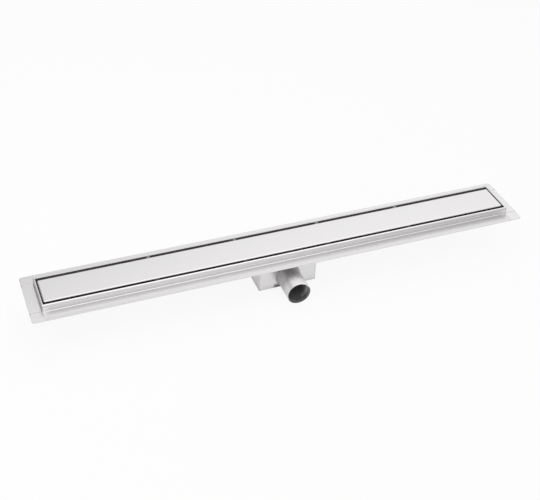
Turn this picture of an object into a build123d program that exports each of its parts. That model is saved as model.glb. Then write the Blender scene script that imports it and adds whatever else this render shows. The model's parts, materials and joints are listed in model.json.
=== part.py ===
from build123d import *
import os

# Linear shower drain: a folded stainless channel with a flush cover, a trap sump and a side outlet.
# Millimetres. +X runs along the channel, -Y is the outlet side and +Z is up.
# The origin is the centre of the sump's underside, on which the drain stands.

# Channel: rim, flange and trough, folded from one thickness of sheet
rim_length = 811.0
rim_width = 70.0
rim_height = 12.5
side_flange = 21.0
end_flange = 19.5
flange_corner_radius = 5.0
sheet = 1.2
hem_gap = 0.6
foot_bend = 1.5
trough_bend = 2.0
trough_depth = 29.5
floor_fall = 4.0
level_length = 120.0

# Cover: a shallow tray, face up, with its edges turned down
cover_side_gap = 5.25
cover_end_gap = 1.5
cover_skirt = 12.0
cover_edge_radius = 2.0
cover_corner_radius = 2.5

# Bridges that carry the cover on the trough floor
support_count = 4
support_end_distance = 81.0
support_width = 20.0
support_bend = 1.0
support_clearance = 0.2

# Moulded pads, bonded to the trough walls, whose ramps guide the cover to the middle of its slots
spacer_count = 4
spacer_end_distance = 180.0
spacer_width = 5.0
spacer_height = 11.0
spacer_drop = 2.0
spacer_lip = 1.0
spacer_ramp = 6.0
spacer_edge_break = 0.5
spacer_cover_clearance = 0.3

# Sump under the trough
sump_length = 100.0
sump_depth = 57.0
sump_bend = 1.0

# Outlet stub
outlet_diameter = 40.0
outlet_wall = 1.2
outlet_reach = 77.5
outlet_floor_gap = 1.5
outlet_head_gap = 1.3
outlet_edge_break = 0.3

# Odour trap: grommet, lift-out cup with standpipe, loose bell and strainer
drain_hole = 52.0
seal_collar = 1.5
seal_lip = 0.8
seal_lip_width = 3.0
seal_drop = 1.5
trap_fit = 0.1
cup_wall = 1.6
cup_flange = 1.2
cup_flange_width = 4.0
cup_base_height = 10.0
standpipe_bore = 20.4
bell_passage = 3.0
bell_wall = 1.5
bell_headroom = 5.5
bell_top_gap = 2.0
bell_foot_height = 5.5
bell_foot_width = 5.0
bell_foot_count = 3
bell_shoulder = 4.0
bell_knob = 10.0
bell_knob_height = 3.0
strainer_sheet = 1.0
strainer_overlap = 3.0
strainer_centre_hole = 6.0
strainer_slot_width = 2.5
strainer_slot_length = 5.5
strainer_slot_bridge = 2.0
strainer_inner_slots = 8

# How far a cutting shape runs past what it cuts
cut_margin = 1.0

# Values worked out from the sizes above
outlet_radius = outlet_diameter / 2
outlet_bore_radius = outlet_radius - outlet_wall
outlet_axis_height = outlet_floor_gap + outlet_radius
floor_underside = outlet_axis_height + outlet_radius + outlet_head_gap
floor_middle_top = floor_underside + sheet
rim_top = floor_middle_top + trough_depth
flange_top = rim_top - rim_height
flange_middle = flange_top - sheet / 2
hem_width = 2 * sheet + hem_gap
hem_radius = (sheet + hem_gap) / 2
hem_base = rim_top - hem_radius - sheet / 2
foot_radius = foot_bend + sheet / 2
rim_half = rim_length / 2
rim_half_width = rim_width / 2
trough_inside = rim_half_width - hem_width
trough_outside = trough_inside + sheet
end_inside = rim_half - hem_width
level_half = level_length / 2
floor_slope = floor_fall / (end_inside - level_half)
cover_length = 2 * (end_inside - cover_end_gap)
cover_width = 2 * (trough_inside - cover_side_gap)
cover_underside = rim_top - sheet
cover_edge = rim_top - cover_skirt


def floor_top_at(x):
    """Height of the trough floor's upper face: level over the sump, rising to both ends."""
    return floor_middle_top + floor_slope * max(0.0, abs(x) - level_half)


def spread_along_cover(count, end_distance):
    """Evenly spaced places along the cover, the outer two a set distance from its ends."""
    step = (cover_length - 2 * end_distance) / (count - 1)
    return [step * (number - (count - 1) / 2) for number in range(count)]


end_floor_top = floor_top_at(end_inside)
end_floor_underside = end_floor_top - sheet
mitre_from = end_floor_top + trough_bend + sheet


def draw_rim(half_span, flange_reach, side=1):
    """Middle line of one rim, from the flange's edge over the upstand and round the hem."""
    upstand_place = half_span - sheet / 2
    flange_edge = (side * (half_span + flange_reach), flange_middle)
    flange = Line(flange_edge, (side * (upstand_place + foot_radius), flange_middle))
    foot = JernArc(flange @ 1, flange % 1, foot_radius, -90 * side)
    upstand = Line(foot @ 1, (side * upstand_place, hem_base))
    return JernArc(upstand @ 1, upstand % 1, hem_radius, 180 * side)


# Channel body: the whole cross-section is one fold, drawn at four places so that the floor has its fall
with BuildPart() as channel_body:
    for place in (-rim_half, -level_half, level_half, rim_half):
        with BuildSketch(Plane.YZ.offset(place)):
            with BuildLine():
                floor_line = floor_top_at(place) - sheet / 2
                bend_radius = trough_bend + sheet / 2
                hem = draw_rim(rim_half_width, side_flange)
                wall = Line(hem @ 1, (trough_inside + sheet / 2, floor_line + bend_radius))
                bend = JernArc(wall @ 1, wall % 1, bend_radius, -90)
                Line(bend @ 1, (0, floor_line))
                mirror(about=Plane.YZ)
            trace(line_width=sheet)
    loft(ruled=True)
    # The long flanges run past the rim to the drain's four corners
    with BuildSketch(Plane.XY.offset(flange_top - sheet)) as corner_sketch:
        with GridLocations(rim_length + end_flange, rim_width + side_flange, 2, 2):
            Rectangle(end_flange, side_flange)
        fillet(corner_sketch.vertices().sort_by_distance((0, 0, 0))[-4:], flange_corner_radius)
    extrude(amount=sheet)
    # Mitred ends of the rim and the upper walls
    with BuildSketch(Plane.XY.offset(mitre_from)):
        for end in (-1, 1):
            with BuildLine():
                Polyline(
                    (end * rim_half, rim_half_width),
                    (end * (rim_half - rim_half_width), 0),
                    (end * rim_half, -rim_half_width),
                    close=True,
                )
            make_face()
    extrude(amount=rim_height + trough_depth, mode=Mode.SUBTRACT)
    # Square ends of the floor and its bends, against the end walls
    with BuildSketch(Plane.XY.offset(floor_underside)):
        with GridLocations(2 * end_inside + hem_width, 0, 2, 1):
            Rectangle(hem_width, rim_width)
    extrude(amount=mitre_from - floor_underside, mode=Mode.SUBTRACT)
    # Drain hole
    with BuildSketch(Plane.XY.offset(floor_underside - cut_margin)):
        Circle(drain_hole / 2)
    extrude(amount=sheet + 2 * cut_margin, mode=Mode.SUBTRACT)


def end_plate(side):
    """Folded end: flange tongue, upstand, hem and end wall. Side is -1 or 1 along X."""
    mitre_reach = 2 * hem_width
    with BuildPart() as plate:
        with BuildSketch(Plane.XZ):
            with BuildLine():
                hem_end = draw_rim(rim_half, end_flange, side)
                Line(hem_end @ 1, (side * (end_inside + sheet / 2), end_floor_underside))
            trace(line_width=sheet)
        extrude(amount=rim_half_width, both=True)
        # Mitred corners that meet the long rims
        with BuildSketch(Plane.XY.offset(mitre_from)):
            for edge in (-1, 1):
                with BuildLine():
                    Polyline(
                        (side * rim_half, edge * rim_half_width),
                        (side * (rim_half - mitre_reach), edge * rim_half_width),
                        (side * (rim_half - mitre_reach), edge * (rim_half_width - mitre_reach)),
                        close=True,
                    )
                make_face()
        extrude(amount=rim_height + trough_depth, mode=Mode.SUBTRACT)
        # Lower wall, narrowed to the outside of the trough and rounded like its bends
        with BuildSketch(Plane.XY.offset(end_floor_underside)):
            with Locations((side * end_inside, 0)):
                with GridLocations(0, 2 * trough_outside + mitre_reach, 1, 2):
                    Rectangle(mitre_reach, mitre_reach)
        extrude(amount=mitre_from - end_floor_underside, mode=Mode.SUBTRACT)
        lower_corners = plate.edges().filter_by(Axis.X).group_by(Axis.Z)[0]
        fillet(lower_corners, trough_bend + sheet)
    return plate


end_plate_left = end_plate(-1)
end_plate_right = end_plate(1)

# Sump: front, floor and back are one fold, with the outlet's hole in the front
sump_half_depth = sump_depth / 2
sump_wrap_half = sump_length / 2 - sheet

with BuildPart() as sump_wrap:
    with BuildSketch(Plane.YZ):
        wall_line = sump_half_depth - sheet / 2
        with BuildLine():
            FilletPolyline(
                (-wall_line, floor_underside),
                (-wall_line, sheet / 2),
                (wall_line, sheet / 2),
                (wall_line, floor_underside),
                radius=sump_bend + sheet / 2,
            )
        trace(line_width=sheet)
    extrude(amount=sump_wrap_half, both=True)
    with BuildSketch(Plane.XZ.offset(sump_half_depth + cut_margin)):
        with Locations((0, outlet_axis_height)):
            Circle(outlet_bore_radius)
    extrude(amount=-(sheet + 2 * cut_margin), mode=Mode.SUBTRACT)


def sump_side(side):
    """Flat plate that closes one end of the sump, rounded like its bends."""
    with BuildPart() as plate:
        with BuildSketch(Plane.YZ.offset(side * sump_wrap_half)) as outline:
            Rectangle(sump_depth, floor_underside, align=(Align.CENTER, Align.MIN))
            fillet(outline.vertices().group_by(Axis.Y)[0], sump_bend + sheet)
        extrude(amount=side * sheet)
    return plate


sump_side_left = sump_side(-1)
sump_side_right = sump_side(1)

# Outlet stub, welded over the hole in the sump's front
with BuildPart() as outlet_pipe:
    with BuildSketch(Plane.XZ.offset(sump_half_depth)):
        with Locations((0, outlet_axis_height)):
            Circle(outlet_radius)
            Circle(outlet_bore_radius, mode=Mode.SUBTRACT)
    extrude(amount=outlet_reach - sump_half_depth)
    mouth = outlet_pipe.faces().sort_by(Axis.Y)[0]
    chamfer(mouth.edges(), outlet_edge_break)

# Cover tray
with BuildPart() as cover_tray:
    with BuildSketch(Plane.XY.offset(cover_edge)):
        RectangleRounded(cover_length, cover_width, cover_corner_radius)
    extrude(amount=cover_skirt)
    fillet(cover_tray.faces().sort_by(Axis.Z)[-1].edges(), cover_edge_radius)
    offset(amount=-sheet, openings=cover_tray.faces().sort_by(Axis.Z)[0])


def cover_spacer(place, side):
    """Pad on one trough wall: thin at its top, then a ramp down to the face that keeps the slot open."""
    pad_top = rim_top - spacer_drop
    pad_base = pad_top - spacer_height
    pad_face = cover_width / 2 + spacer_cover_clearance
    with BuildPart() as pad:
        with BuildSketch(Plane.YZ.offset(place)):
            with BuildLine():
                Polyline(
                    (side * trough_inside, pad_top),
                    (side * (trough_inside - spacer_lip), pad_top),
                    (side * pad_face, pad_top - spacer_ramp),
                    (side * pad_face, pad_base),
                    (side * trough_inside, pad_base),
                    close=True,
                )
            make_face()
        extrude(amount=spacer_width / 2, both=True)
        face_near_cover = pad.faces().filter_by(Axis.Y).sort_by(Axis.Y)[0 if side > 0 else -1]
        chamfer(face_near_cover.edges(), spacer_edge_break)
    return pad


def cover_support(place):
    """Bridge folded from strip: its top lies under the cover and its two legs stand on the trough floor."""
    leg_line = cover_width / 2 - sheet - support_clearance - sheet / 2
    top_line = cover_underside - sheet / 2
    foot_height = max(floor_top_at(place - support_width / 2), floor_top_at(place + support_width / 2))
    with BuildPart() as bridge:
        with BuildSketch(Plane.YZ.offset(place)):
            with BuildLine():
                FilletPolyline(
                    (-leg_line, foot_height),
                    (-leg_line, top_line),
                    (leg_line, top_line),
                    (leg_line, foot_height),
                    radius=support_bend + sheet / 2,
                )
            trace(line_width=sheet)
        extrude(amount=support_width / 2, both=True)
    return bridge


# Trap grommet: a collar in the drain hole under a thin lip that lies on the trough floor
seal_outside = drain_hole / 2 - trap_fit
seal_inside = seal_outside - seal_collar
seal_top = floor_middle_top + seal_lip

with BuildPart() as trap_seal:
    with BuildSketch(Plane.XZ):
        with BuildLine():
            Polyline(
                (seal_inside, seal_top),
                (seal_outside + seal_lip_width, seal_top),
                (seal_outside + seal_lip_width, floor_middle_top),
                (seal_outside, floor_middle_top),
                (seal_outside, floor_underside - seal_drop),
                (seal_inside, floor_underside - seal_drop),
                close=True,
            )
        make_face()
    revolve(axis=Axis.Z)

# Trap cup: hangs by its flange on the grommet and overflows through its standpipe
cup_outside = seal_inside - trap_fit
cup_inside = cup_outside - cup_wall
cup_top = seal_top + cup_flange
cup_floor = cup_base_height + cup_wall
bell_crown = cup_top - bell_top_gap - bell_knob_height
standpipe_inside = standpipe_bore / 2
standpipe_outside = standpipe_inside + cup_wall
standpipe_top = bell_crown - bell_wall - bell_headroom

with BuildPart() as trap_cup:
    with BuildSketch(Plane.XZ):
        with BuildLine():
            Polyline(
                (standpipe_inside, cup_base_height),
                (cup_outside, cup_base_height),
                (cup_outside, seal_top),
                (cup_outside + cup_flange_width, seal_top),
                (cup_outside + cup_flange_width, cup_top),
                (cup_inside, cup_top),
                (cup_inside, cup_floor),
                (standpipe_outside, cup_floor),
                (standpipe_outside, standpipe_top),
                (standpipe_inside, standpipe_top),
                close=True,
            )
        make_face()
    revolve(axis=Axis.Z)

# Trap bell: stands on its feet over the standpipe, with a knob to lift it by
bell_line = standpipe_outside + bell_passage + bell_wall / 2
bell_crown_line = bell_crown - bell_wall / 2

with BuildPart() as trap_bell:
    with BuildSketch(Plane.XZ):
        with BuildLine():
            Polyline(
                (bell_line, cup_floor + bell_foot_height),
                (bell_line, bell_crown_line - bell_shoulder),
                (bell_line - bell_shoulder, bell_crown_line),
                (0, bell_crown_line),
            )
        trace(line_width=bell_wall)
    revolve(axis=Axis.Z)
    with BuildSketch(Plane.XY.offset(bell_crown)):
        Circle(bell_knob / 2)
    extrude(amount=bell_knob_height)
    with BuildSketch(Plane.XY.offset(cup_floor)):
        with PolarLocations(bell_line, bell_foot_count):
            Rectangle(bell_wall / 2, bell_foot_width)
    extrude(amount=bell_foot_height + bell_wall / 2)

# Hair strainer: a perforated disc that lies on the cup's flange
strainer_radius = cup_inside + strainer_overlap

with BuildPart() as hair_strainer:
    with BuildSketch(Plane.XY.offset(cup_top)):
        Circle(strainer_radius)
        Circle(strainer_centre_hole / 2, mode=Mode.SUBTRACT)
        for ring in (1, 2):
            ring_outside = strainer_centre_hole / 2 + ring * (strainer_slot_bridge + strainer_slot_length)
            with PolarLocations(ring_outside - strainer_slot_length / 2, ring * strainer_inner_slots):
                Rectangle(strainer_slot_length, strainer_slot_width, mode=Mode.SUBTRACT)
    extrude(amount=strainer_sheet)

pieces = {
    "channel_body": channel_body,
    "end_plate_left": end_plate_left,
    "end_plate_right": end_plate_right,
    "sump_wrap": sump_wrap,
    "sump_side_left": sump_side_left,
    "sump_side_right": sump_side_right,
    "outlet_pipe": outlet_pipe,
    "cover_tray": cover_tray,
    "trap_seal": trap_seal,
    "trap_cup": trap_cup,
    "trap_bell": trap_bell,
    "hair_strainer": hair_strainer,
}
for number, place in enumerate(spread_along_cover(support_count, support_end_distance), start=1):
    pieces[f"cover_support_{number}"] = cover_support(place)
for number, place in enumerate(spread_along_cover(spacer_count, spacer_end_distance), start=1):
    pieces[f"cover_spacer_front_{number}"] = cover_spacer(place, -1)
    pieces[f"cover_spacer_back_{number}"] = cover_spacer(place, 1)

os.makedirs("parts", exist_ok=True)
for name, piece in pieces.items():
    piece.part.label = name
    export_step(piece.part, f"parts/{name}.step")
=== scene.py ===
# %% [markdown]
# # Dressing a linear shower drain
# The drain is folded from thin stainless sheet: a long channel with a flange and a hemmed rim, a
# flush cover, a box for the trap and a round outlet stub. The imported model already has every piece
# at its real size, so this lesson adds what a drawing leaves out: the finish of each surface, the
# weld beads between the sheets, the studio and the camera. Everything is in metres, with +X along
# the channel, -Y towards the outlet and +Z up.

# %% Load the frame
import json
import math

import bmesh
import bpy
from mathutils import Matrix, Quaternion, Vector


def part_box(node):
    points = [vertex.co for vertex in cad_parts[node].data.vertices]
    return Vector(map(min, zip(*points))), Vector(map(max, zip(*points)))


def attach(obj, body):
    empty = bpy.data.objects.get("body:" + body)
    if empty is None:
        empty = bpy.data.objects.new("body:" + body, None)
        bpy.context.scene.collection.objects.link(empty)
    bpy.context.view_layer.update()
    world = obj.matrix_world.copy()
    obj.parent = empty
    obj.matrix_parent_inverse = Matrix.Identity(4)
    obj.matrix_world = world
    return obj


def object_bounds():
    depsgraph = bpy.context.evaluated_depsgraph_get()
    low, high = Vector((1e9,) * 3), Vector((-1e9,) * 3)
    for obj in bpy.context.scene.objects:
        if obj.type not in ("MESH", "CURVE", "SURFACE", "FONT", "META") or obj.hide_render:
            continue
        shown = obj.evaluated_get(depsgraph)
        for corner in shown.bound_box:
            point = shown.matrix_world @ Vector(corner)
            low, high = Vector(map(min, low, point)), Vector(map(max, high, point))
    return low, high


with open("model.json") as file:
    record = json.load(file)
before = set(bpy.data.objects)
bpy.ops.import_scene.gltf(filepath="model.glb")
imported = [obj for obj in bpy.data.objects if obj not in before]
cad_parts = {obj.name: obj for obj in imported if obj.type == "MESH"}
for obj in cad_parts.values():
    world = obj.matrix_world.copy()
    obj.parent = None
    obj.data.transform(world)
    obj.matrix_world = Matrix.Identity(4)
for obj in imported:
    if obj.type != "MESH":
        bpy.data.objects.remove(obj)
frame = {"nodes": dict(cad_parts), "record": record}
nodes = frame["nodes"]
cad_box = [list(corner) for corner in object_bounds()]
mm = 0.001
print("nodes:", len(nodes), "CAD box:", cad_box)

# %% [markdown]
# ## Sizes read from the frame
# A weld follows the edges of the sheets that it joins. Typing those edges in again would leave two
# copies of each size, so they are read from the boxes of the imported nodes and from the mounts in
# the record. Only the hem's width and the tube's wall can't be read there.

# %% Measure the sheets
mounts = {mount["name"]: mount for mount in frame["record"]["mounts"]}
flange_end, flange_side, rim_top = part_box("channel_body")[1]
flange_top = mounts["flange_face"]["pos_m"][2]
end_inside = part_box("end_plate_right")[0].x
rim_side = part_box("end_plate_right")[1].y
hem_width = 3.0 * mm
rim_end = end_inside + hem_width
sump_front, sump_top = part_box("sump_wrap")[0].y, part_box("sump_wrap")[1].z
sump_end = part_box("sump_side_right")[1].x
sheet = sump_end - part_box("sump_wrap")[1].x
cover_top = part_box("cover_tray")[1].z
pipe_axis = mounts["outlet_spigot"]["pos_m"][2]
pipe_radius = mounts["outlet_spigot"]["dims"]["r_mm"] * mm
pipe_wall = 1.2 * mm
pipe_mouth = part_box("outlet_pipe")[0].y
print(f"flange {2 * flange_end:.4f} x {2 * flange_side:.4f}, rim top {rim_top:.4f}")
print(f"sheet {sheet:.4f}, stub of radius {pipe_radius:.4f} to y {pipe_mouth:.4f}")

# %% [markdown]
# ## The camera
# The camera stands to the left of the outlet and looks down on the channel. Its place, direction,
# slight roll and lens were found by matching the long edges, the corners and the pipe's mouth of
# the model to the picture.

# %% Place the camera
camera_place = Vector((-0.54369, -1.25472, 1.12451))
camera_azimuth = math.radians(-22.5639)
camera_elevation = math.radians(38.0958)
camera_roll = math.radians(2.5489)
camera_lens, camera_sensor = 69.72, 36.0

level = math.cos(camera_elevation)
looking = Vector((
    -math.sin(camera_azimuth) * level,
    math.cos(camera_azimuth) * level,
    -math.sin(camera_elevation),
))
camera_data = bpy.data.cameras.new("photo_camera")
camera_data.lens = camera_lens
camera_data.sensor_width = camera_sensor
camera = bpy.data.objects.new("photo_camera", camera_data)
camera.location = camera_place
camera.rotation_mode = "QUATERNION"
camera.rotation_quaternion = looking.to_track_quat("-Z", "Y") @ Quaternion((0, 0, 1), camera_roll)
bpy.context.scene.collection.objects.link(camera)
bpy.context.scene.camera = camera
print("camera looks along", [round(part, 4) for part in looking])

# %% [markdown]
# ## Writing shader maths as Python
# A finish is a small calculation: a noise, stretched, scaled and added to another. Placing Math
# nodes by hand hides that, so one class wraps a socket. Adding or multiplying two signals adds the
# Math node for it, and `node` adds any other node.

# %% A signal in a node tree
class Signal:
    """A socket in a node tree. Arithmetic on signals adds Math nodes."""

    def __init__(self, tree, socket=None):
        self.tree = tree
        self.socket = socket

    def feed(self, node, inputs):
        """Sets or links the sockets of a node."""
        for name, value in inputs.items():
            if isinstance(value, Signal):
                self.tree.links.new(value.socket, node.inputs[name])
            else:
                node.inputs[name].default_value = value

    def node(self, kind, settings=None, inputs=None, output=0):
        """Adds one node: first its settings, then the values or links of its sockets."""
        made = self.tree.nodes.new("ShaderNode" + kind)
        for name, value in (settings or {}).items():
            setattr(made, name, value)
        self.feed(made, inputs or {})
        return Signal(self.tree, made.outputs[output])

    def math(self, operation, first, second):
        return self.node("Math", {"operation": operation}, {0: first, 1: second})

    def dot(self, other):
        inputs = {0: self, 1: other}
        return self.node("VectorMath", {"operation": "DOT_PRODUCT"}, inputs, output="Value")

    def __add__(self, other):
        return self.math("ADD", self, other)

    def __sub__(self, other):
        return self.math("SUBTRACT", self, other)

    def __rsub__(self, other):
        return self.math("SUBTRACT", other, self)

    def __mul__(self, other):
        return self.math("MULTIPLY", self, other)

    def __neg__(self):
        return self * -1.0

    def __pow__(self, other):
        return self.math("POWER", self, other)

    __radd__ = __add__
    __rmul__ = __mul__

    def at_least(self, low):
        return self.math("MAXIMUM", self, low)

    def at_most(self, high):
        return self.math("MINIMUM", self, high)

    def between(self, low, high):
        return self.at_least(low).at_most(high)


def grey(value):
    return (value, value, value, 1.0)


print("signal operators ready")

# %% [markdown]
# ## Telling places apart
# Some finishes change from place to place on one folded sheet, and the floor is darker close to the
# box. A place's own X, Y and Z are enough to tell where it is: a distance becomes a mask by scaling
# it and clamping it between 0 and 1. Painting a mask by hand would do it too, but it would have to
# be painted again after each change of size.

# %% Masks from distances
sharp_ramp = 0.2 * mm


def parts_of(place):
    """The X, Y and Z of a place, as three signals."""
    return [place.node("SeparateXYZ", inputs={0: place}, output=axis) for axis in "XYZ"]


def size_of(signal):
    """How far a signal is from zero, either way."""
    return signal.math("ABSOLUTE", signal, 0.0)


def where(distance, ramp=sharp_ramp):
    """0 where a distance is negative, 1 where it is past the ramp, and a straight slope between."""
    return (distance * (1 / ramp)).between(0.0, 1.0)


def strip(distance, start, end, rise, fall):
    """1 between two distances, with a slope inside each of them."""
    return where(distance - start, rise) * where(end - distance, fall)


print("mask helpers ready, sharpest slope", sharp_ramp)

# %% [markdown]
# ## The studio
# Steel shows its surroundings more than its own colour, so the studio decides how the drain looks.
# It stands in a tent of white cloth, and lamps outside make some panels of the cloth brighter than
# the rest. A painted sky could give the same, but a few soft spots of light are easier to move:
# each has a direction, a spread and a strength. Camera rays see plain white, so that the picture
# has a clean backdrop.

# %% Build the tent
tent_cloth = 0.34
panels = {
    "back": ((0.18, 0.69, 0.70), 12.0, 0.37),
    "back right": ((0.54, 0.60, 0.59), 12.0, 0.52),
    "front": ((0.15, -0.74, 0.65), 10.0, 1.12),
    "roof": ((0.34, -0.05, 0.94), 4.0, 0.50),
}

world = bpy.data.worlds.new("white_tent")
world.use_nodes = True
bpy.context.scene.world = world
world.node_tree.nodes.clear()
tent = Signal(world.node_tree)
direction = tent.node("TexCoord", output="Generated")


def towards(aim, spread):
    """1 where a ray points along aim, 0 at a right angle. A larger spread value falls faster."""
    return direction.dot(Vector(aim).normalized()).at_least(0.0) ** spread


tent_level = tent_cloth
for aim, spread, strength in panels.values():
    tent_level = tent_level + strength * towards(aim, spread)
camera_ray = tent.node("LightPath", output="Is Camera Ray")
tent_strength = camera_ray + (1 - camera_ray) * tent_level
backdrop = tent.node("Background", inputs={"Color": grey(1.0), "Strength": tent_strength})
world_output = world.node_tree.nodes.new("ShaderNodeOutputWorld")
tent.feed(world_output, {"Surface": backdrop})
print("tent cloth", tent_cloth, "panels", sorted(panels))

# %% [markdown]
# ## The floor
# The floor is one large pale sheet under the box. Its own colour takes the shadow. Camera rays see
# most of it as white paper, so the shadow stays a soft hint, and glossy rays see some of that white
# too: most in front of the box, where nothing shades the paper, less beside it, and hardly any
# right at its foot and under the stub. That keeps the dark lines that steel shows where it stands
# on something.

# %% Lay the floor
floor_size = 12.0
floor_drop = 0.3 * mm
paper_colour = 0.90
paper_share = 0.88
share_at_foot, share_beside, share_in_front = 0.14, 0.47, 0.74
foot_shade, front_shade = 5.0 * mm, 12.0 * mm
stub_shade_half = 17.0 * mm

floor_mesh = bpy.data.meshes.new("studio_floor")
shape = bmesh.new()
bmesh.ops.create_grid(shape, x_segments=1, y_segments=1, size=floor_size / 2)
bmesh.ops.translate(shape, verts=shape.verts, vec=(0, 0, cad_box[0][2] - floor_drop))
shape.to_mesh(floor_mesh)
shape.free()
floor = bpy.data.objects.new("studio_floor", floor_mesh)
bpy.context.scene.collection.objects.link(floor)

floor_paper = bpy.data.materials.new("floor_paper")
floor_paper.use_nodes = True
floor_paper.node_tree.nodes.clear()
floor_paper.cycles.emission_sampling = "NONE"
paper = Signal(floor_paper.node_tree)
seen_direct = paper.node("LightPath", output="Is Camera Ray")
seen_in_metal = paper.node("LightPath", output="Is Glossy Ray").at_least(
    paper.node("LightPath", output="Is Transmission Ray")
)
lit_paper = paper.node("BsdfDiffuse", inputs={"Color": grey(paper_colour)})
white_paper = paper.node("Emission", inputs={"Color": grey(1.0), "Strength": 1.0})
x, y, z = parts_of(paper.node("TexCoord", output="Object"))
clear_of_foot = where((size_of(x) - sump_end).at_least(size_of(y) + sump_front), foot_shade)
in_front = where(sump_front - y, front_shade)
stub_width = where(stub_shade_half - size_of(x), stub_shade_half / 2)
under_stub = stub_width * in_front * where(y - pipe_mouth, foot_shade)
open_share = share_beside + (share_in_front - share_beside) * in_front
share_in_metal = share_at_foot + (open_share - share_at_foot) * clear_of_foot * (1 - under_stub)
white_share = (seen_direct * paper_share + seen_in_metal * share_in_metal).at_most(1.0)
mixed_paper = paper.node("MixShader", inputs={0: white_share, 1: lit_paper, 2: white_paper})
paper_output = floor_paper.node_tree.nodes.new("ShaderNodeOutputMaterial")
paper.feed(paper_output, {"Surface": mixed_paper})
floor_mesh.materials.append(floor_paper)
print("floor", floor_size, "m at", cad_box[0][2] - floor_drop)

# %% [markdown]
# ## The lamps
# Two softboxes hang over the tent. The large one overhead gives the round edges of the rim and the
# stub their bright lines. It is wide and dim, because a small strong one would burn out the cover
# when it is seen from above. The one on the left lights the floor in front of the box, which the
# box's front then mirrors. A softbox is a square area lamp. Its power is worked out from the
# brightness of its face, so that its size can change freely.

# %% Hang the softboxes
softboxes = {
    "softbox_overhead": ((0.06, 0.20, 1.60), 2.2, 0.42),
    "softbox_left": ((-1.3, -0.4, 1.4), 1.5, 1.0),
}
for name, (place, size, brightness) in softboxes.items():
    lamp = bpy.data.lights.new(name, "AREA")
    lamp.shape = "SQUARE"
    lamp.size = size
    lamp.energy = brightness * math.pi * size ** 2
    softbox = bpy.data.objects.new(name, lamp)
    softbox.location = place
    softbox.rotation_mode = "QUATERNION"
    softbox.rotation_quaternion = (-Vector(place)).to_track_quat("-Z", "Y")
    bpy.context.scene.collection.objects.link(softbox)
    print(name, "power", round(lamp.energy, 3), "W")

# %% [markdown]
# ## Tools for finishes
# Each finish is one material on Object coordinates, kept by its name. Sheared, folded and moulded
# edges are rubbed brighter: the Bevel node rounds the shading normal near an edge, so where it
# leaves the true normal there is an edge. On steel the brighter edge is partly wear and partly a
# painted highlight.

# %% Helpers for finishes
edge_radius, edge_samples, edge_gain = 0.45 * mm, 6, 5.0
noise_middle = 0.5
mix_share, mix_first, mix_second, mix_result = 0, 6, 7, 2
finishes = {}


def new_finish(name):
    """An empty material, kept by its name, with its main shader and the place that it colours."""
    material = bpy.data.materials.new(name)
    material.use_nodes = True
    finishes[name] = material
    place = Signal(material.node_tree).node("TexCoord", output="Object")
    return material.node_tree.nodes["Principled BSDF"], place


def swing(noise):
    """How far a noise is from its middle."""
    return noise - noise_middle


def mix_colour(share, first, second, way="MIX"):
    """Mixes two colours. The node has a set of sockets for each kind of value, hence the numbers."""
    settings = {"data_type": "RGBA", "blend_type": way}
    inputs = {mix_share: share, mix_first: first, mix_second: second}
    return share.node("Mix", settings, inputs, output=mix_result)


def shade(colour, factor):
    return tuple(min(1.0, part * factor) for part in colour) + (1.0,)


def rubbed_edge(place):
    """1 on a sharp edge and 0 away from it, with the rounded normal that it was found from."""
    rounded = place.node("Bevel", {"samples": edge_samples}, {"Radius": edge_radius})
    flat = place.node("NewGeometry", output="Normal")
    return ((1 - rounded.dot(flat)) * edge_gain).between(0.0, 1.0), rounded


print("finish helpers ready, edges of", edge_radius)

# %% [markdown]
# ## Brushed stainless steel
# Satin sheet is ground with a belt, which leaves fine scratches all one way. A noise that is
# squeezed across the scratches and stretched along them gives those lines, and no picture is
# needed. A second, wider noise gives the longer streaks that show from a step away, and a third,
# even one gives the faint smudges of handling.

# %% Make a brushed finish
grain_along, grain_across, grain_detail = 16.0, 2400.0, 3.0
streak_along, streak_across, streak_detail = 2.4, 260.0, 2.0
brush_roughness = 0.6
smudge_noise = {"Scale": 24.0, "Detail": 3.0, "Distortion": 0.6}
grain_tone, streak_tone = 0.7, 0.6
dark_steel, pale_steel, edge_wear_and_highlight, edge_share = 0.95, 1.05, 1.15, 0.5
grain_gloss, smudge_gloss, edge_gloss = 0.08, 0.06, 0.06
grain_height, streak_height, scratch_strength = 0.8, 0.2, 0.5
along_x, along_y, round_y, no_way = (1, 0, 0), (0, 1, 0), (1, 0, 1), (0, 0, 0)


def stretched_noise(place, brushed_along, along, across, detail):
    """A noise whose lines run along the axes that brushed_along marks with 1."""
    scale = [along if marked else across for marked in brushed_along]
    turned = place.node("Mapping", inputs={"Vector": place, "Scale": scale})
    inputs = {"Vector": turned, "Scale": 1.0, "Detail": detail, "Roughness": brush_roughness}
    return place.node("TexNoise", inputs=inputs)


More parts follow.
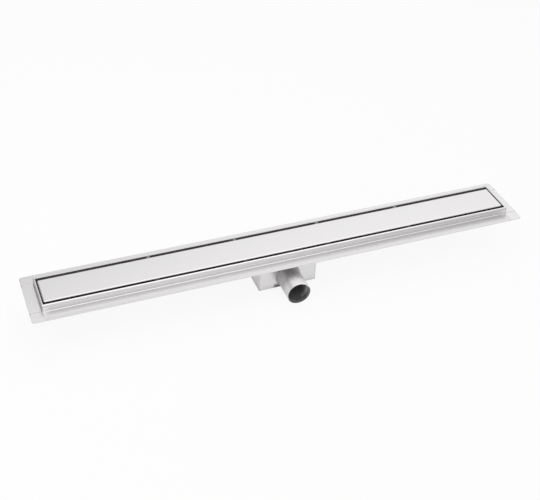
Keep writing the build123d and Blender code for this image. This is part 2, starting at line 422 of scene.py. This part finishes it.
def brushed_steel(
    name, colour, brushed_along, roughness, grain_share=1.0, scratch_depth=0.02 * mm, skins_and_painted_light=()
):
    """Satin stainless sheet, scratched along the marked axes.

    Each skin, unbrushed or painted light or shade, is a mask, the roughness that it adds, the share
    of the colour that it keeps and the share of the metal's shine that it keeps.
    """
    shader, place = new_finish(name)
    grain = stretched_noise(place, brushed_along, grain_along, grain_across, grain_detail)
    streak = stretched_noise(place, brushed_along, streak_along, streak_across, streak_detail)
    smudge = place.node("TexNoise", inputs={"Vector": place, **smudge_noise})
    edge, rounded = rubbed_edge(place)
    lines = grain_tone * swing(grain) + streak_tone * swing(streak)
    tone = (noise_middle + grain_share * lines).between(0.0, 1.0)
    sheet_colour = mix_colour(tone, shade(colour, dark_steel), shade(colour, pale_steel))
    # The brighter steel edge is partly wear and partly a painted highlight.
    skin_colour = mix_colour(edge * edge_share, sheet_colour, shade(colour, edge_wear_and_highlight))
    dulling = grain_gloss * swing(grain) + smudge_gloss * swing(smudge)
    gloss = roughness + grain_share * dulling - edge_gloss * edge
    shine = 1.0
    spot = parts_of(place)
    for mask, added_roughness, kept_colour, kept_shine in skins_and_painted_light:
        skin = mask(*spot)
        gloss = gloss + added_roughness * skin
        skin_colour = mix_colour(skin, skin_colour, grey(kept_colour), "MULTIPLY")
        if kept_shine < 1.0:
            shine = shine - (1.0 - kept_shine) * skin
    scratches = {
        "Strength": scratch_strength,
        "Distance": scratch_depth,
        "Height": grain_height * grain + streak_height * streak,
        "Normal": rounded,
    }
    bumped = place.node("Bump", inputs=scratches)
    steel = {"Base Color": skin_colour, "Metallic": shine, "Roughness": gloss, "Normal": bumped}
    place.feed(shader, steel)


print("brushed finish ready, grain", grain_across, "lines per metre")

# %% [markdown]
# ## Skins and painted light: the stub
# The belt brushes the faces that show, and the others keep another skin. Some skins are painted
# light and shade instead. Each skin is a mask from distances, so one material still covers a whole
# piece. The stub has the most of them. Its outer end is rubbed matt for a rubber seal, and its top
# there carries a painted highlight. Behind it, painted shade darkens the top below the flange, the
# flanks and the foot, and a painted dark reflection runs lengthwise high on the left. The box has
# painted shade in the low corners beside it. The bore keeps the dull skin of the tube mill, with
# painted shade along the bottom, a painted highlight near the mouth and painted shade on the low
# part of the cut end.

# %% Tell the stub's skins apart
matt_reach, matt_ramp, matt_rise = 24.0 * mm, 12.0 * mm, 0.7 * pipe_radius
cut_face_depth = 0.15 * mm
cut_edge_lean, cut_edge_start, cut_edge_ramp = 0.46, 2.0 * mm, 4.0 * mm
band_from, band_fade = 20.5 * mm, 9.0 * mm
band_rise, band_ramp = 13.5 * mm, 5.0 * mm
flank_from, flank_ramp = 15.5 * mm, 3.0 * mm
flank_start, flank_fade = 11.5 * mm, 10.0 * mm
dark_reflection_side, dark_reflection_half, dark_reflection_ramp = 13.4 * mm, 3.6 * mm, 2.4 * mm
dark_reflection_reach, dark_reflection_fade = 30.0 * mm, 8.0 * mm
root_shade_reach, root_shade_ramp = 20.0 * mm, 10.0 * mm
root_tint_reach, root_tint_ramp = 2.6 * mm, 1.8 * mm
bottom_shade_depth, bottom_shade_ramp = 4.0 * mm, 9.0 * mm
glint_from, glint_to, glint_side, glint_ramp = 5.0 * mm, 16.5 * mm, 8.0 * mm, 3.0 * mm
ring_glint_side, ring_glint_ramp = 2.0 * mm, 5.0 * mm
corner_side, corner_height, corner_depth = 27.0 * mm, 10.5 * mm, 3.0 * mm
corner_ramp = 5.0 * mm


def from_axis(x, z):
    """How far a place is from the pipe's axis."""
    rise = z - pipe_axis
    return (x * x + rise * rise) ** 0.5


def pipe_bore(x, y, z):
    """The inside of the outlet stub."""
    inside = where(pipe_radius - sheet / 3 - from_axis(x, z))
    return inside * where(y - pipe_mouth - cut_face_depth, cut_face_depth)


def cut_end_painted_shade(x, y, z):
    """Painted shade on the low right of the stub's cut end, where the real edge turns down."""
    turned_down = cut_edge_lean * x - (z - pipe_axis) + cut_edge_start
    at_end = where(pipe_mouth + 2 * cut_face_depth - y, cut_face_depth)
    return at_end * where(turned_down, cut_edge_ramp)


def matt_end_painted_highlight(x, y, z):
    """The top of the stub's outer end: rubbed matt for a rubber seal to grip, with a painted
    highlight.
    """
    return where(pipe_mouth + matt_reach - y, matt_ramp) * where(z - pipe_axis, matt_rise)


def stub_root_painted_shade(x, y, z):
    """The foot of the stub, below the flange: painted shade."""
    return where(y - sump_front + root_shade_reach, root_shade_ramp)


def stub_top_painted_shade(x, y, z):
    """The top of the stub below the flange: painted shade of the flange."""
    behind_end = where(y - pipe_mouth - band_from, band_fade)
    return behind_end * where(z - pipe_axis - band_rise, band_ramp)


def stub_flank_painted_shade(x, y, z):
    """The sides of the stub behind its matt end: painted shade."""
    behind_end = where(y - pipe_mouth - flank_start, flank_fade)
    return where(size_of(x) - flank_from, flank_ramp) * behind_end


def stub_painted_dark_reflection(x, y, z):
    """A painted dark reflection, lengthwise high on the stub's left side, from the mouth to its
    foot.
    """
    line = where(dark_reflection_half - size_of(x + dark_reflection_side), dark_reflection_ramp) * where(z - pipe_axis)
    return line * where(pipe_mouth + dark_reflection_reach - y, dark_reflection_fade)


def box_heat_tint(x, y, z):
    """The front of the box, close round the stub."""
    round_stub = where(pipe_radius + root_tint_reach - from_axis(x, z), root_tint_ramp)
    return round_stub * where(sump_front + sheet / 2 - y)


def bore_bottom_painted_shade(x, y, z):
    """The bottom of the bore: painted shade."""
    return pipe_bore(x, y, z) * where(pipe_axis - bottom_shade_depth - z, bottom_shade_ramp)


def bore_painted_highlight(x, y, z):
    """A painted highlight in a strip at the right of the bore, just inside the mouth."""
    near_mouth = strip(y - pipe_mouth, glint_from, glint_to, glint_ramp, glint_ramp)
    return pipe_bore(x, y, z) * near_mouth * where(x - glint_side, glint_ramp)


def ring_painted_highlight(x, y, z):
    """The lower left of the ring inside the mouth: a painted highlight."""
    return where(-x - ring_glint_side, ring_glint_ramp) * where(pipe_axis - z, ring_glint_ramp)


def stub_corner_painted_shade(x, y, z):
    """Painted shade on the front of the box in the low corners beside the stub."""
    beside = where(corner_side - size_of(x), corner_ramp) * where(corner_height - z, corner_ramp)
    return beside * where(sump_front + corner_depth - y)


print("matt end", matt_reach, "long, seam", 2 * dark_reflection_half, "wide")

# %% [markdown]
# ## Skins and painted light: the channel and the cover
# The undersides and the walls inside the slots keep the matt skin of the rolling mill, with painted
# shade below the flange and at the ends, and a little painted light on the long walls. The rim's
# round hem and the foot of the upstand carry painted highlights. Painted shade darkens the back
# hem towards its slot, the front flange, the crease at the foot and a dull strip of the flange
# along the bend. The cover's round edge and the skirt below it carry painted shade, and the skirt
# is smooth.

# %% Tell the skins of the channel and the cover apart
bend_shade_from, bend_shade_rise = 1.2 * mm, 1.2 * mm
bend_shade_to, bend_shade_fall = 12.0 * mm, 7.2 * mm
foot_highlight_from, foot_highlight_to, foot_highlight_ramp = 0.6 * mm, 8.0 * mm, 2.0 * mm
foot_bend_size, foot_bend_ramp = 1.2 * mm, 0.4 * mm
rim_shine_depth, rim_shine_inset, rim_shine_ramp = 1.6 * mm, 0.4 * mm, 0.5 * mm
hem_inset, hem_drop = 1.0 * mm, 0.15 * mm
hem_shade_width, hem_shade_ramp = 2.0 * mm, 1.0 * mm
cover_edge_radius, cover_round_drop = 2.0 * mm, 0.2 * mm


def past_rim(x, y):
    """How far a place is outside the rim, on whichever side it is further out."""
    return (size_of(x) - rim_end).at_least(size_of(y) - rim_side)


def above_flange(z):
    """1 from the middle of the flange's sheet upwards."""
    return where(z - flange_top + sheet / 2)


def front_flange_painted_shade(x, y, z):
    """Painted shade on the upper face of the front flange, outside the foot of the rim."""
    outside = where(-y - rim_side - bend_shade_from, bend_shade_rise) * above_flange(z)
    return outside * where(rim_end + bend_shade_rise - size_of(x), bend_shade_rise)


def foot_crease_painted_shade(x, y, z):
    """Painted shade in the tight bend between the long upstands and the flange."""
    from_rim = size_of(y) - rim_side
    outside = where(from_rim + sheet / 2) * where(foot_bend_size - from_rim, foot_bend_ramp)
    return outside * where(foot_bend_size - z + flange_top, foot_bend_ramp) * above_flange(z)


def bend_strip_painted_shade(x, y, z):
    """A dull strip of the flange along the foot of the rim's long sides, with painted shade."""
    from_rim = size_of(y) - rim_side
    band = strip(from_rim, bend_shade_from, bend_shade_to, bend_shade_rise, bend_shade_fall)
    return band * above_flange(z) * where(rim_end - size_of(x), bend_shade_to)


def upstand_foot_painted_highlight(x, y, z):
    """A painted highlight in a strip at the foot of the upstand."""
    height = z - flange_top
    band = strip(height, foot_highlight_from, foot_highlight_to, foot_highlight_ramp, foot_highlight_ramp)
    return band * where(past_rim(x, y) + sheet / 2)


def hem_painted_highlight(x, y, z):
    """A painted highlight on the outer part of the rim's round hem."""
    near_top = where(z - rim_top + rim_shine_depth, rim_shine_ramp)
    return near_top * where(past_rim(x, y) + hem_width - rim_shine_inset)


def trough_sides_matt_painted_light(x, y, z):
    """The trough's long inner sides, up over the inner part of their hem: matt, with painted light.
    """
    return where(rim_side - hem_width + hem_inset - size_of(y)) * where(rim_top - hem_drop - z)


def back_hem_painted_shade(x, y, z):
    """Painted shade on the inner half of the back side's round hem, down to the straight wall."""
    from_wall = y - rim_side + hem_width
    dull = where(hem_shade_width - from_wall, hem_shade_ramp) * where(y)
    return dull * where(z - rim_top + hem_width, hem_shade_ramp)


def trough_ends_matt_painted_shade(x, y, z):
    """The inside of the trough's ends, below the round of their hem: matt, with painted shade."""
    return where(end_inside + hem_drop - size_of(x)) * where(rim_top - hem_width / 2 - z)


def underside_matt_painted_shade(x, y, z):
    """Everything below the flange: matt mill skin, with painted shade."""
    return where(flange_top - sheet / 2 - z) * where(size_of(y) - rim_side + hem_width)


def cover_round_painted_shade(x, y, z):
    """Painted shade on the edge of the cover, from its round downwards."""
    return where(cover_top - cover_round_drop - z)


def cover_skirt_painted_shade(x, y, z):
    """The turned-down edge of the cover, below its round: smooth, with painted shade."""
    return where(cover_top - cover_edge_radius - z)


print("bend mark", bend_shade_from, "to", bend_shade_to, "from the rim")

# %% [markdown]
# ## Brush each piece of steel
# Each kind of sheet gets its own finish. A skin's row names its mask, the roughness that it adds,
# the share of the colour that it keeps and the share of the shine that it keeps. Only the bore
# loses its shine: a shiny bore would mirror its own dark end and turn black.

# %% List the skins
# Colours on the long sides: painted shade, a little painted light on the slot walls, painted
# highlights.
side_skins = [
    (underside_matt_painted_shade, 0.10, 0.90, 1.0),
    (trough_sides_matt_painted_light, 0.16, 1.04, 1.0),
    (back_hem_painted_shade, 0.0, 0.70, 1.0),
    (front_flange_painted_shade, 0.0, 0.90, 1.0),
    (bend_strip_painted_shade, 0.06, 0.64, 1.0),
    (foot_crease_painted_shade, 0.08, 0.90, 1.0),
    (upstand_foot_painted_highlight, 0.04, 1.30, 1.0),
    (hem_painted_highlight, 0.0, 1.12, 1.0),
]
# Colours on the ends: painted shade inside and below, and a painted highlight on the hem.
end_skins = [
    (underside_matt_painted_shade, 0.10, 0.90, 1.0),
    (trough_ends_matt_painted_shade, 0.16, 0.80, 1.0),
    (hem_painted_highlight, 0.0, 1.12, 1.0),
]
# The box's front is darker round the stub, and the corners beside it carry painted shade.
box_skins = [
    (box_heat_tint, 0.0, 0.55, 1.0),
    (stub_corner_painted_shade, 0.1, 0.25, 1.0),
]
# Colours on the stub: painted shade, a painted dark reflection and painted highlights.
tube_skins = [
    (stub_root_painted_shade, 0.0, 0.90, 1.0),
    (stub_top_painted_shade, 0.0, 0.72, 1.0),
    (stub_flank_painted_shade, 0.0, 0.84, 1.0),
    (stub_painted_dark_reflection, 0.0, 0.84, 1.0),
    (matt_end_painted_highlight, 0.22, 1.30, 1.0),
    (pipe_bore, 0.0, 0.62, 0.2),
    (bore_bottom_painted_shade, 0.0, 0.36, 1.0),
    (bore_painted_highlight, 0.0, 2.1, 1.0),
    (cut_end_painted_shade, 0.0, 0.16, 1.0),
]
# Colours on the ring: painted shade at the bottom and a painted highlight at the lower left.
ring_skins = [
    (bore_bottom_painted_shade, 0.0, 0.50, 1.0),
    (ring_painted_highlight, 0.0, 2.8, 1.0),
]
# Colours on the cover's edge: painted shade.
cover_skins = [
    (cover_round_painted_shade, 0.0, 0.90, 1.0),
    (cover_skirt_painted_shade, -0.10, 0.78, 1.0),
]
print("skins:", len(side_skins), "on the sides,", len(tube_skins), "on the stub")

# %% Brush the steel
steel_colour = (0.76, 0.747, 0.751)
cover_colour = (0.775, 0.762, 0.766)
sheet_rough, tube_rough, cover_rough = 0.24, 0.56, 0.28
tube_scratch, cover_scratch, cover_grain = 0.05 * mm, 0.01 * mm, 0.35
brushed_steel(
    "sheet_brushed_lengthwise", steel_colour, along_x, sheet_rough, skins_and_painted_light=side_skins
)
brushed_steel("sheet_brushed_crosswise", steel_colour, along_y, sheet_rough, skins_and_painted_light=end_skins)
brushed_steel("box_brushed_lengthwise", steel_colour, along_x, sheet_rough, skins_and_painted_light=box_skins)
brushed_steel("box_brushed_crosswise", steel_colour, along_y, sheet_rough)
brushed_steel(
    "tube_brushed_round", steel_colour, round_y, tube_rough,
    scratch_depth=tube_scratch, skins_and_painted_light=tube_skins,
)
brushed_steel(
    "cover_brushed", cover_colour, along_x, cover_rough,
    grain_share=cover_grain, scratch_depth=cover_scratch, skins_and_painted_light=cover_skins,
)
print("steel finishes:", sorted(finishes))

# %% [markdown]
# ## Plastic and rubber
# The trap's pieces are moulded. A mould leaves a fine spark-eroded texture and slow changes of
# gloss, so the same recipe serves the dark trap plastic, the grey pads and the rubber, with other
# sizes and strengths.

# %% Make a moulded finish
flow_noise = {"Scale": 60.0, "Detail": 2.0, "Distortion": 0.8}
texture_detail, texture_strength = 4.0, 0.4
flow_tone, texture_tone = 0.8, 0.5
dark_mould, pale_mould, worn_mould, worn_share = 0.86, 1.12, 1.5, 0.35
texture_gloss, flow_gloss = 0.15, 0.12


def moulded(name, colour, roughness, texture_size, depth, sheen_share):
    """Moulded plastic or rubber with an eroded texture and worn edges."""
    shader, place = new_finish(name)
    eroded = {"Vector": place, "Scale": 1 / texture_size, "Detail": texture_detail}
    texture = place.node("TexNoise", inputs=eroded)
    flow = place.node("TexNoise", inputs={"Vector": place, **flow_noise})
    edge, rounded = rubbed_edge(place)
    changes = noise_middle + flow_tone * swing(flow) + texture_tone * swing(texture)
    tone = changes.between(0.0, 1.0)
    body_colour = mix_colour(tone, shade(colour, dark_mould), shade(colour, pale_mould))
    worn_colour = mix_colour(edge * worn_share, body_colour, shade(colour, worn_mould))
    gloss = roughness + texture_gloss * swing(texture) + flow_gloss * swing(flow)
    relief = {"Strength": texture_strength, "Distance": depth, "Height": texture, "Normal": rounded}
    bumped = place.node("Bump", inputs=relief)
    place.feed(shader, {"Base Color": worn_colour, "Roughness": gloss, "Normal": bumped})
    place.feed(shader, {"Specular IOR Level": sheen_share})


moulded("trap_plastic", (0.16, 0.17, 0.18), 0.42, 0.5 * mm, 0.03 * mm, 0.5)
moulded("trap_rubber", (0.05, 0.05, 0.05), 0.62, 0.8 * mm, 0.05 * mm, 0.35)
moulded("pad_plastic", (0.36, 0.36, 0.35), 0.50, 0.4 * mm, 0.02 * mm, 0.5)
print("moulded finishes:", [name for name in finishes if "brushed" not in name])

# %% [markdown]
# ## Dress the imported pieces
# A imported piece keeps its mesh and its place. Only the material in its slot changes. The scratches
# follow the way that each sheet was cut: along the channel on the long pieces, across it on the
# ends and round the tube.

# %% Give each node its finish
def finish_of(name):
    """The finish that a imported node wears."""
    if name.startswith("cover_spacer"):
        return "pad_plastic"
    if name.startswith("end_plate"):
        return "sheet_brushed_crosswise"
    if name.startswith(("sump_side", "cover_support")):
        return "box_brushed_crosswise"
    special = {
        "channel_body": "sheet_brushed_lengthwise",
        "cover_tray": "cover_brushed",
        "outlet_pipe": "tube_brushed_round",
        "trap_cup": "trap_plastic",
        "trap_bell": "trap_plastic",
        "trap_seal": "trap_rubber",
    }
    return special.get(name, "box_brushed_lengthwise")


for name, node in nodes.items():
    node.material_slots[0].material = finishes[finish_of(name)]
print({name: finish_of(name) for name in sorted(nodes)})

# %% [markdown]
# ## Weld beads
# The sheets are joined by fine welds made without filler rod. A bead is a round bar, half sunk in
# the corner between two sheets, with a ripple where each small pool of metal set. Spin draws it:
# with an angle it sweeps a circle round the tube, and with a step but no angle it sweeps the circle
# in a straight line.

# %% Helpers for beads
bead_segments = 12
ripple_depth = 0.10
merge_distance = 0.001 * mm
upwards = (0, 0, 1)
corners = [(end, side) for end in (-1, 1) for side in (-1, 1)]


def circle_at(bead, centre, axis, width, height, up):
    """The bead's section: an ellipse round centre, across axis, with its height along up."""
    side = axis.cross(up)
    turn = Matrix((side, up, axis)).transposed().to_4x4()
    stretch = Matrix.Diagonal((width, height, 1.0, 1.0))
    place = Matrix.Translation(centre) @ turn @ stretch
    section = bmesh.ops.create_circle(
        bead, cap_ends=False, segments=bead_segments, radius=1.0, matrix=place
    )
    return section["verts"]


def ripple(share, steps):
    """The size that a bead keeps at a share of its run: every second ring is thinner."""
    return 1 - ripple_depth * (round(share * steps) % 2)


def straight_bead(bead, start, end, width, height, up, pitch):
    """One straight weld bead from start to end."""
    start, end, up = Vector(start), Vector(end), Vector(up)
    run = end - start
    axis = run.normalized()
    steps = max(2, round(2 * run.length / pitch))
    ring = circle_at(bead, start, axis, width, height, up)
    edges = {edge for vert in ring for edge in vert.link_edges}
    before = set(bead.verts) - set(ring)
    swept = list(ring) + list(edges)
    bmesh.ops.spin(
        bead, geom=swept, cent=start, axis=axis, dvec=run / steps, angle=0.0, steps=steps
    )
    for vert in set(bead.verts) - before:
        along = (vert.co - start).dot(axis)
        centre = start + axis * along
        vert.co = centre + (vert.co - centre) * ripple(along / run.length, steps)


def round_bead(bead, depth, radius, width, height, steps):
    """One bead all the way round the pipe's axis, at a Y of depth."""
    start = Vector((0.0, depth, pipe_axis + radius))
    circle_at(bead, start, Vector((1, 0, 0)), width, height, Vector(upwards))
    bmesh.ops.spin(
        bead,
        geom=list(bead.verts) + list(bead.edges),
        cent=(0, depth, pipe_axis),
        axis=(0, 1, 0),
        angle=math.tau,
        steps=steps,
        use_merge=True,
    )


def bead_object(name, bead, material):
    """Closes a bead's ends, turns its faces outwards and rides it on the drain."""
    bmesh.ops.remove_doubles(bead, verts=bead.verts, dist=merge_distance)
    open_edges = [edge for edge in bead.edges if edge.is_boundary]
    bmesh.ops.holes_fill(bead, edges=open_edges, sides=bead_segments)
    bmesh.ops.recalc_face_normals(bead, faces=bead.faces)
    for face in bead.faces:
        face.smooth = len(face.verts) == 4
    mesh = bpy.data.meshes.new(name)
    bead.to_mesh(mesh)
    bead.free()
    mesh.materials.append(material)
    piece = bpy.data.objects.new(name, mesh)
    bpy.context.scene.collection.objects.link(piece)
    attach(piece, "root")
    print(name, "faces:", len(mesh.polygons))


weld_rough, ground_rough, ring_rough = 0.36, 0.44, 0.34
brushed_steel("weld_metal", (0.60, 0.59, 0.58), no_way, weld_rough)
brushed_steel("root_weld", (0.36, 0.35, 0.34), no_way, weld_rough)
brushed_steel("ground_weld", (0.78, 0.767, 0.771), along_x, ground_rough)

# %% [markdown]
# ## The outlet's weld
# The stub stands on the front of the box, round the hole, and one bead runs all the way round its
# foot. It is thin, because the stub passes close over the floor and close under the trough.

# %% Weld the outlet
root_bead = 1.3 * mm
root_pitch = 2.4 * mm
root_steps = 4 * round(math.pi * pipe_radius / root_pitch)
outlet_bead = bmesh.new()
round_bead(outlet_bead, sump_front, pipe_radius, root_bead, root_bead, root_steps)
for vert in outlet_bead.verts:
    turn = math.atan2(vert.co.x, vert.co.z - pipe_axis)
    out = Vector((math.sin(turn), 0.0, math.cos(turn)))
    foot = Vector((0.0, sump_front, pipe_axis)) + pipe_radius * out
    vert.co = foot + (vert.co - foot) * ripple(turn / math.tau, root_steps)
bead_object("outlet_weld", outlet_bead, finishes["root_weld"])

# %% [markdown]
# ## The ring inside the mouth
# A pale line runs round inside the mouth of the stub, a few millimetres in. It is made as a low
# rolled bead: a flat ellipse, half sunk in the bore and spun round the pipe's axis. A painted line
# would stay flat, but a bead turns its outer flank to the light.

# %% Roll the ring
ring_inset = 6.0 * mm
ring_half_width, ring_height = 1.3 * mm, 0.55 * mm
ring_steps = 96
ring_at, bore_radius = pipe_mouth + ring_inset, pipe_radius - pipe_wall
mouth_ring = bmesh.new()
round_bead(mouth_ring, ring_at, bore_radius, ring_half_width, ring_height, ring_steps)
brushed_steel("rolled_ring", (0.34, 0.335, 0.335), round_y, ring_rough, skins_and_painted_light=ring_skins)
bead_object("mouth_ring", mouth_ring, finishes["rolled_ring"])

# %% [markdown]
# ## The box's welds
# The box hangs under the trough by a bead along its four upper edges. Its upright corners, where
# the flat sides meet the folded front and back, are welded too and then ground, which leaves low,
# smooth lines.

# %% Weld the box
top_bead = 1.0 * mm
box_bead = bmesh.new()
for side in (-1, 1):
    long_edge, short_edge = side * sump_front, side * sump_end
    runs = [
        ((-sump_end, long_edge, sump_top), (sump_end, long_edge, sump_top)),
        ((short_edge, sump_front, sump_top), (short_edge, -sump_front, sump_top)),
    ]
    for start, end in runs:
        straight_bead(box_bead, start, end, top_bead, top_bead, upwards, root_pitch)
bead_object("sump_top_weld", box_bead, finishes["weld_metal"])

corner_bead_width, corner_bead_height = 0.9 * mm, 0.3 * mm
corner_foot = 2.2 * mm
ground_pitch = 2 * root_pitch
corner_bead = bmesh.new()
for end, side in corners:
    seam = (end * (sump_end - sheet), side * sump_front)
    straight_bead(
        corner_bead, (*seam, corner_foot), (*seam, sump_top),
        corner_bead_width, corner_bead_height, (0, side, 0), ground_pitch,
    )
bead_object("sump_corner_weld", corner_bead, finishes["ground_weld"])

# %% [markdown]
# ## The seams of the two ends
# Each end is a folded piece of its own, let in between the long sides. Its flange meets theirs
# along two seams, and its upstand meets theirs at the corners of the rim. On the flange the seams
# are ground almost flat, and they show as pale streaks. At the corners a thin bead is left round.

# %% Weld the ends
seam_width, seam_height = 1.5 * mm, 0.22 * mm
seam_pitch = 4.0 * mm
seam_inset = 0.3 * mm
seam_bead = bmesh.new()
for end, side in corners:
    straight_bead(
        seam_bead,
        (end * (rim_end - seam_inset), side * rim_side, flange_top),
        (end * (flange_end - seam_inset), side * rim_side, flange_top),
        seam_width, seam_height, upwards, seam_pitch,
    )
bead_object("flange_seam_weld", seam_bead, finishes["ground_weld"])

rim_bead = 1.0 * mm
rim_bead_inset = 0.72 * mm
rim_bead_top = rim_top - hem_width / 2
rim_corner_bead = bmesh.new()
for end, side in corners:
    corner = (end * (rim_end - rim_bead_inset), side * (rim_side - rim_bead_inset))
    straight_bead(
        rim_corner_bead, (*corner, flange_top), (*corner, rim_bead_top),
        rim_bead, rim_bead, (0, 1, 0), root_pitch,
    )
bead_object("rim_corner_weld", rim_corner_bead, finishes["weld_metal"])

# %% [markdown]
# ## Finish
# The picture shows its colours as they are, without a film look. The visual model has
# to stay in the box of the imported one.

# %% Set the view and finish
bpy.context.scene.view_settings.view_transform = "Standard"
bpy.context.view_layer.update()
